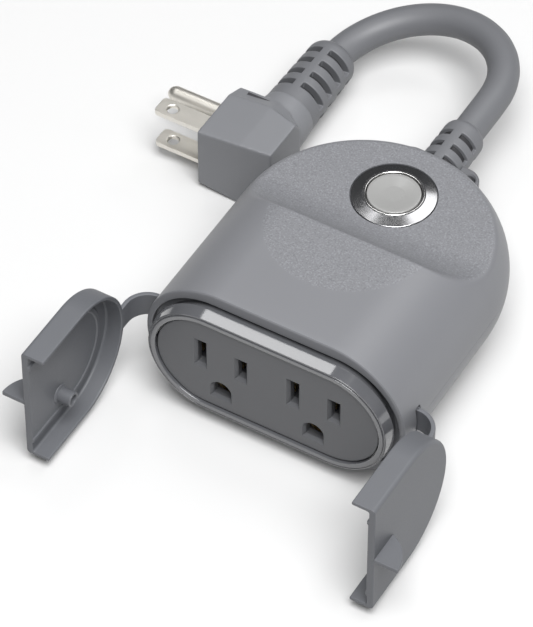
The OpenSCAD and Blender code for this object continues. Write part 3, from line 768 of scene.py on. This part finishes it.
def makePin(facts):
    radius, rootR, end = facts["radius"], facts["rootR"], facts["end"]
    corners = [(0, facts["start"], 0), (rootR, facts["start"], 0), (rootR, plugFacts["face"] + 0.1, 0),
               (radius, plugFacts["face"], 0), (radius, end, 0)]
    for k in range(1, 8):
        a = math.radians(k * 90 / 8)
        corners.append((radius * math.cos(a), end - facts["nose"] * math.sin(a), 0))
    corners.append((0, end - facts["nose"], 0))
    pin = turned("groundPinSkin", corners, (0, facts["y"], facts["z"]), "X", 64)
    smooth(pin, 35)
    return pin


hotBlade = makeBlade("hotBladeSkin", 1, bladeFacts)
neutralBlade = makeBlade("neutralBladeSkin", -1, bladeFacts)
groundPin = makePin(pinFacts)
for piece, node, slotName in ((plugBody, "plug_body", "cord_rubber"),
                              (hotBlade, "hot_blade", "blade_metal"),
                              (neutralBlade, "neutral_blade", "blade_metal"),
                              (groundPin, "ground_pin", "blade_metal")):
    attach(piece, "housing")
    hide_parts(node)
print("plug made")


# Covers: drawn shut, then swung open about their own line
coverFacts = {"core": 20.1, "radius": 20.2, "skirt": 1.15, "back": -43.5, "edge": -36.4, "plate": 1.9,
              "hingeX": 43.9, "hingeY": -33.3, "reach": 7.0, "root": 10.3,
              "tabThick": 1.5, "postX": 14.5, "postZ": 14.7}


def makeCover(facts):
    r, back, edge = facts["radius"], facts["back"], facts["edge"]
    inner = r - facts["skirt"]
    floor = back + facts["plate"]
    corners = [(0, back, 0), (r, back, 1.3), (r, edge, 0.45), (inner, edge, 0.45), (inner, floor, 0.8),
               (15.7, floor, 0.3), (15.2, floor + 0.6, 0.3), (14.0, floor + 0.6, 0.25),
               (13.7, floor + 0.25, 0.3), (0, floor + 0.25, 0)]
    cover = stretched("coverShell", corners, facts["core"], 144, 5)
    startEdit(cover)
    bpy.ops.mesh.select_all(action="SELECT")
    bpy.ops.mesh.bisect(plane_co=(0.5 * mm, 0, 0), plane_no=(1, 0, 0), clear_inner=True, use_fill=True)
    endEdit()
    roundEdges(cover, 0.3, 3, 60)
    postLine = [(1.5, floor - 0.5, 0), (2.3, floor - 0.5, 0), (2.3, edge - 0.4, 0.3), (1.5, edge - 0.4, 0.3),
                (1.5, floor - 0.5, 0)]
    footLine = [(0, floor - 0.2, 0), (3.2, floor - 0.2, 0), (2.9, floor + 0.45, 0.3),
                (2.25, floor + 0.8, 0.3), (1.55, floor + 0.8, 0), (1.55, floor + 0.3, 0), (0, floor + 0.3, 0)]
    postCentre = (facts["postX"], 0, facts["postZ"])
    post = turned("coverPost", postLine, postCentre, "Y", 48)
    foot = turned("postFoot", footLine, postCentre, "Y", 48)
    reach, root = facts["reach"], facts["root"]
    tabR = (reach ** 2 + root ** 2) / (2 * reach)
    clearSelection()
    bpy.ops.mesh.primitive_cylinder_add(vertices=160, radius=tabR * mm, depth=facts["tabThick"] * mm,
                                        location=(0, 0, 0))
    tab = bpy.context.object
    moveVerts(tab, lambda p: (p.x + 0.5, p.y + back + tabR - reach, p.z + midZ))
    startEdit(tab)
    for place, normal in (((0.5 * mm, 0, 0), (1, 0, 0)), ((0, (back + 0.6) * mm, 0), (0, -1, 0))):
        bpy.ops.mesh.select_all(action="SELECT")
        bpy.ops.mesh.bisect(plane_co=place, plane_no=normal, clear_inner=True, use_fill=True)
    endEdit()
    tidyMesh(tab)
    roundEdges(tab, 0.35, 3, 40)
    cover = joined("rightCoverSkin", cover, post, foot, tab)
    hinge = Vector((facts["hingeX"] * mm, facts["hingeY"] * mm, 0))
    turn = Matrix.Rotation(math.pi / 2, 4, "Z")
    cover.matrix_world = Matrix.Translation(hinge) @ turn @ Matrix.Translation(-hinge)
    pick(cover)
    bpy.ops.object.transform_apply(location=True, rotation=True, scale=True)
    smooth(cover, 40)
    return cover


rightCover = makeCover(coverFacts)
leftCover = mirrored(rightCover, "leftCoverSkin")
for piece, side in ((leftCover, "left"), (rightCover, "right")):
    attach(piece, side + "_flap")
    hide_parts(side + "_cover")


# Straps that bend between the housing and the covers
strapFacts = {"radius": 7.5, "thick": 1.3, "low": 19.8, "high": 27.8, "arcX": 40.7, "arcY": -35.0,
              "bends": 18}


def makeStrap(facts):
    outer, thick = facts["radius"], facts["thick"]
    strap = block("rightStrapSkin", (facts["arcX"] - 0.02, facts["arcY"] + outer - thick, facts["low"]),
                  (facts["arcX"], facts["arcY"] + outer, facts["high"]))
    startEdit(strap, "FACE")
    selectFaces(strap, lambda c, n: n.x < -0.9)
    for k in range(3):
        bpy.ops.mesh.extrude_region_move(TRANSFORM_OT_translate={"value": (-1.2 * mm, 0, 0)})
    selectFaces(strap, lambda c, n: n.x > 0.9)
    turn = math.radians(90 / facts["bends"])
    hub = (facts["arcX"] * mm, facts["arcY"] * mm, 0)
    for k in range(facts["bends"]):
        bpy.ops.mesh.extrude_region_move(TRANSFORM_OT_translate={"value": (0, 0, 0)})
        bpy.ops.transform.rotate(value=turn, orient_axis="Z", center_override=hub)
    for k in range(4):
        bpy.ops.mesh.extrude_region_move(TRANSFORM_OT_translate={"value": (0, -0.7 * mm, 0)})
    endEdit()
    return strap


rightStrap = makeStrap(strapFacts)
roundEdges(rightStrap, 0.3, 2, 50)
smooth(rightStrap, 40)
leftStrap = mirrored(rightStrap, "leftStrapSkin")
for piece, side, sign in ((leftStrap, "left", -1), (rightStrap, "right", 1)):
    side + "_flap"
    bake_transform(piece)
    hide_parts(side + "_strap")
print("covers made")


# Finishes
# A socket that takes part in shader sums
class Wire:
    def __init__(self, look, socket):
        self.look = look
        self.socket = socket

    def calc(self, operation, *values):
        return self.look.node("ShaderNodeMath", {"operation": operation}, list(values))

    def __add__(self, other):
        return self.calc("ADD", self, other)

    __radd__ = __add__

    def __sub__(self, other):
        return self.calc("SUBTRACT", self, other)

    def __rsub__(self, other):
        return self.calc("SUBTRACT", other, self)

    def __mul__(self, other):
        return self.calc("MULTIPLY", self, other)

    __rmul__ = __mul__

    def step(self, low, high):
        return self.look.node("ShaderNodeMapRange", {"interpolation_type": "SMOOTHSTEP"},
                              {"Value": self, "From Min": low, "From Max": high})


# A material and the nodes that feed its shader
class Look:
    def __init__(self, name, roughness, metallic=0.0, specular=0.5, coat=0.0, coatRough=0.05):
        self.material = bpy.data.materials.new(name)
        self.material.use_nodes = True
        self.tree = self.material.node_tree
        self.shader = next(n for n in self.tree.nodes if n.type == "BSDF_PRINCIPLED")
        self.put("Roughness", roughness)
        self.put("Metallic", metallic)
        self.put("Specular IOR Level", specular)
        self.put("Coat Weight", coat)
        self.put("Coat Roughness", coatRough)

    def node(self, kind, settings, inputs, output=0):
        made = self.tree.nodes.new(kind)
        for key, value in settings.items():
            setattr(made, key, value)
        pairs = inputs.items() if isinstance(inputs, dict) else enumerate(inputs)
        for key, value in pairs:
            if isinstance(value, Wire):
                self.tree.links.new(value.socket, made.inputs[key])
            else:
                made.inputs[key].default_value = value
        return Wire(self, made.outputs[output])

    def put(self, socket, value):
        if isinstance(value, Wire):
            self.tree.links.new(value.socket, self.shader.inputs[socket])
        else:
            self.shader.inputs[socket].default_value = value

    def place(self):
        return self.node("ShaderNodeTexCoord", {}, {}, 3)

    def noise(self, scale, detail=2.0, rough=0.5, place=None):
        return self.node("ShaderNodeTexNoise", {}, {"Vector": place or self.place(), "Scale": scale,
                                                    "Detail": detail, "Roughness": rough})

    def blend(self, amount, first, second):
        return self.node("ShaderNodeMix", {"data_type": "RGBA"}, {0: amount, 6: first, 7: second}, 2)

    def bump(self, height, strength, distance):
        self.put("Normal", self.node("ShaderNodeBump", {}, {"Strength": strength, "Distance": distance * mm,
                                                            "Height": height}))


def shade(colour, factor):
    return (*[min(c * factor, 1.0) for c in colour], 1.0)


# Moulded plastic or rubber: a slow drift of tone and a fine grain
def mouldedLook(name, colour, roughness, grain=0.25, grainSize=0.5, drift=0.05, specular=0.5, coat=0.0):
    look = Look(name, roughness, 0.0, specular, coat, 0.12)
    slow = look.noise(45, 2)
    fine = look.noise(1000 / grainSize, 2, 0.6)
    look.put("Base Color", look.blend(slow, shade(colour, 1 - drift), shade(colour, 1 + drift)))
    look.put("Roughness", roughness + (fine - 0.5) * 0.12 + (slow - 0.5) * 0.06)
    look.bump(fine, grain, 0.06)
    return look.material


# Metal with fine brushed or drawn lines along one direction
def metalLook(name, colour, roughness, lines=0.15, squash=(1.0, 1.0, 1.0), drift=0.04):
    look = Look(name, roughness, 1.0)
    spread = look.node("ShaderNodeMapping", {}, {"Vector": look.place(), "Scale": squash})
    streak = look.noise(900, 3, 0.6, spread)
    slow = look.noise(70, 2)
    look.put("Base Color", look.blend(slow, shade(colour, 1 - drift), shade(colour, 1 + drift)))
    look.put("Roughness", roughness + (streak - 0.5) * 0.14)
    look.bump(streak, lines, 0.02)
    return look.material


# Housing plastic: satin, with a pebbled panel that has paler and darker specks
housingLookFacts = {"colour": (0.154, 0.157, 0.168), "rough": 0.42, "panelY": 5.0, "panelR": 24.0,
                    "speck": 0.24}


def housingLook(facts):
    look = Look("housingPlastic", facts["rough"], 0.0, 0.5)
    place = look.place()
    split = look.node("ShaderNodeSeparateXYZ", {}, {"Vector": place})
    x = split
    y = Wire(look, split.socket.node.outputs[1])
    z = Wire(look, split.socket.node.outputs[2])
    root = {"operation": "SQRT"}
    dx, dy, up = x * (1 / mm), y * (1 / mm), z * (1 / mm)
    far = look.node("ShaderNodeMath", root, [dx * dx + (dy - facts["panelY"]) * (dy - facts["panelY"])])
    back = look.node("ShaderNodeMath", {"operation": "MAXIMUM"}, [dy - arcY, 0.0])
    out = look.node("ShaderNodeMath", root, [dx * dx + back * back])
    rim = look.node("ShaderNodeMath", {"operation": "MAXIMUM"}, [out - housingFacts["core"], 0.0])
    crown = midZ + look.node("ShaderNodeMath", root, [midZ * midZ - rim * rim])
    deck = (crown - up).step(0.25, 0.9) * dy.step(1.0, 3.0)
    disc = 1 - far.step(facts["panelR"] - 0.4, facts["panelR"] + 0.4)
    panel = look.node("ShaderNodeMath", {"operation": "MAXIMUM"}, [disc, deck]) * up.step(midZ, midZ + 6)
    slow = look.noise(30, 2)
    pebble = look.noise(1500, 2, 0.6)
    speck = look.noise(2100, 1, 0.5)
    bright = speck.step(0.56, 0.66) - (1 - speck).step(0.58, 0.68) * 0.8
    tone = look.blend(slow, shade(facts["colour"], 0.97), shade(facts["colour"], 1.03))
    pale = look.blend(bright * panel * facts["speck"] + 0.5, shade(facts["colour"], 0.45),
                      shade(facts["colour"], 1.6))
    look.put("Base Color", look.blend(panel, tone, pale))
    look.put("Roughness", facts["rough"] + panel * 0.06 + (pebble - 0.5) * 0.08)
    look.bump(pebble * (0.25 + 0.75 * panel), 0.22, 0.07)
    return look.material


finishes = {
    "housing": housingLook(housingLookFacts),
    "trim": mouldedLook("trimPlastic", (0.110, 0.112, 0.120), 0.45, 0.2),
    "collar": mouldedLook("collarPlastic", (0.088, 0.090, 0.097), 0.10, 0.02, 0.6, 0.03, 0.7, 1.0),
    "face": mouldedLook("facePlastic", (0.078, 0.080, 0.086), 0.36, 0.12, 0.4, 0.03),
    "cover": mouldedLook("coverRubber", (0.100, 0.104, 0.114), 0.5, 0.22, 0.45, 0.05),
    "cord": mouldedLook("cordRubber", (0.122, 0.125, 0.134), 0.5, 0.25, 0.5, 0.06),
    "plug": mouldedLook("plugRubber", (0.160, 0.164, 0.175), 0.48, 0.3, 0.5, 0.06),
    "seal": mouldedLook("sealRubber", (0.02, 0.02, 0.022), 0.7, 0.3),
    "dark": mouldedLook("darkMoulding", (0.03, 0.03, 0.033), 0.5, 0.2),
    "bezel": metalLook("bezelMetal", (0.50, 0.50, 0.51), 0.2, 0.04),
    "rim": metalLook("rimMetal", (0.86, 0.85, 0.84), 0.14, 0.02),
    "cap": mouldedLook("capPlastic", (0.25, 0.25, 0.246), 0.3, 0.05, 0.6, 0.06, 0.5, 0.3),
    "blade": metalLook("bladeMetal", (0.74, 0.715, 0.66), 0.45, 0.12, (0.08, 1.0, 1.0)),
    "steel": metalLook("screwSteel", (0.6, 0.6, 0.61), 0.32, 0.15),
    "brass": metalLook("contactBrass", (0.75, 0.58, 0.30), 0.3, 0.15),
    "can": metalLook("drawnCan", (0.68, 0.69, 0.70), 0.35, 0.15, (1.0, 1.0, 0.1)),
    "board": mouldedLook("boardMask", (0.02, 0.14, 0.06), 0.35, 0.1, 0.8, 0.15),
    "radioBoard": mouldedLook("radioBoardMask", (0.02, 0.08, 0.22), 0.35, 0.1, 0.8, 0.15),
    "ceramic": mouldedLook("glazedCeramic", (0.72, 0.68, 0.58), 0.25, 0.1),
    "blue": mouldedLook("blueEpoxy", (0.05, 0.14, 0.42), 0.3, 0.1),
    "terminal": mouldedLook("terminalNylon", (0.05, 0.28, 0.12), 0.42, 0.15),
    "blackWire": mouldedLook("blackInsulation", (0.02, 0.02, 0.02), 0.4, 0.1),
    "whiteWire": mouldedLook("whiteInsulation", (0.75, 0.75, 0.72), 0.4, 0.1),
    "greenWire": mouldedLook("greenInsulation", (0.04, 0.30, 0.10), 0.4, 0.1),
    "lens": mouldedLook("lightLens", (0.80, 0.88, 0.95), 0.15, 0.02),
}

nodeFinishes = {
    "shell_seal": "seal", "case_screws": "steel", "collar_seal": "seal", "contact_carrier": "dark",
    "hot_contact_left": "brass", "hot_contact_right": "brass", "neutral_contacts": "brass",
    "ground_contacts": "brass", "button_stem": "dark", "button_seal": "seal", "button_board": "board",
    "button_board_screws": "steel", "tact_switch": "dark", "switch_plunger": "whiteWire",
    "status_led": "lens", "main_board": "board", "board_screws": "steel", "relay_left": "dark",
    "relay_right": "dark", "power_converter": "dark", "bulk_capacitor": "can", "fuse": "ceramic",
    "varistor": "blue", "wifi_board": "radioBoard", "wifi_shield": "can", "terminal_block": "terminal",
    "hot_wire": "blackWire", "neutral_wire": "whiteWire", "ground_wire": "greenWire",
    "cord_clamp": "dark", "clamp_screws": "steel", "left_strap_anchor": "cover",
    "right_strap_anchor": "cover", "plug_bridge": "dark", "upper_shell": "housing",
    "lower_shell": "housing", "hang_tab": "trim", "outlet_collar": "collar", "outlet_face": "face",
    "button_bezel": "bezel", "bezel_rim": "rim", "button_cap": "cap", "body_strain_relief": "cord",
    "left_cover": "cover", "right_cover": "cover", "left_strap": "cover", "right_strap": "cover",
    "power_cord": "cord", "plug_strain_relief": "cord", "plug_body": "plug", "hot_blade": "blade",
    "neutral_blade": "blade", "ground_pin": "blade"}

pieceFinishes = [
    (upperShell, "housing"), (lowerShell, "housing"), (screwPosts, "trim"), (outletCollar, "collar"),
    (outletFace, "face"), (buttonBezel, "bezel"), (bezelRim, "rim"), (buttonCap, "cap"), (hangEars, "trim"),
    (bodyRelief, "cord"), (plugRelief, "cord"), (powerCord, "cord"), (plugBody, "plug"), (hotBlade, "blade"),
    (neutralBlade, "blade"), (groundPin, "blade"), (leftCover, "cover"), (rightCover, "cover"),
    (leftStrap, "cover"), (rightStrap, "cover")]


def dress(piece, finish):
    piece.data.materials.clear()
    piece.data.materials.append(finishes[finish])


for node, finish in nodeFinishes.items():
    dress(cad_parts[node], finish)
for piece, finish in pieceFinishes:
    dress(piece, finish)


# The floor of each relief slot gets the near-black seal rubber as painted shade for the deep slot
def paintSlotShade(relief, facts):
    relief.data.materials.append(finishes["seal"])
    for f in relief.data.polygons:
        c = f.center / mm
        if any(abs(c.y - y) < facts["wide"] / 2 for y in facts["rows"]):
            if math.hypot(c.x - facts["x"], c.z - facts["z"]) < facts["core"] + 0.5:
                # near-black seal rubber on the slot floor is painted shade, not a different rubber
                f.material_index = 1


paintSlotShade(bodyRelief, bodyReliefFacts)
paintSlotShade(plugRelief, plugReliefFacts)
print("finishes made")


# Floor and studio light
def makeFloor():
    clearSelection()
    bpy.ops.mesh.primitive_plane_add(size=6, location=(0, 0, -0.0002))
    floor = bpy.context.object
    floor.name = "studioFloor"
    look = Look("studioPaper", 0.8, 0.0, 0.2)
    look.put("Base Color", look.blend(look.noise(3, 2), (0.55, 0.55, 0.55, 1), (0.57, 0.57, 0.57, 1)))
    look.put("Emission Color", look.blend(look.noise(3, 2), (0.99, 0.99, 0.99, 1), (1, 1, 1, 1)))
    look.put("Emission Strength", 0.03)
    floor.data.materials.append(look.material)


def softbox(name, direction, distance, size, power):
    light = bpy.data.lights.new(name, "AREA")
    light.shape = "RECTANGLE"
    light.size = size[0]
    light.size_y = size[1]
    light.energy = power
    lamp = bpy.data.objects.new(name, light)
    bpy.context.scene.collection.objects.link(lamp)
    aim = Vector((0, 0, 20 * mm))
    lamp.location = aim + Vector(direction).normalized() * distance
    lamp.rotation_euler = (aim - lamp.location).to_track_quat("-Z", "Y").to_euler()


makeFloor()
softbox("keyBox", (0.28, -0.30, 0.95), 1.7, (1.15, 1.15), 53)
softbox("bandBox", (-0.34, 0.33, 0.88), 1.7, (0.5, 0.42), 2.9)
softbox("bezelBox", (0.16, 0.58, 0.79), 1.7, (0.8, 1.1), 6.5)
softbox("rightBox", (0.95, 0.15, 0.45), 1.8, (0.25, 0.8), 1.5)

world = bpy.data.worlds.new("studioAir")
world.use_nodes = True
air = next(n for n in world.node_tree.nodes if n.type == "BACKGROUND")
air.inputs[0].default_value = (0.95, 0.97, 1.0, 1)
air.inputs[1].default_value = 0.07
bpy.context.scene.world = world
bpy.context.scene.view_settings.view_transform = "Standard"
bpy.context.scene.view_settings.look = "None"
print("studio made")
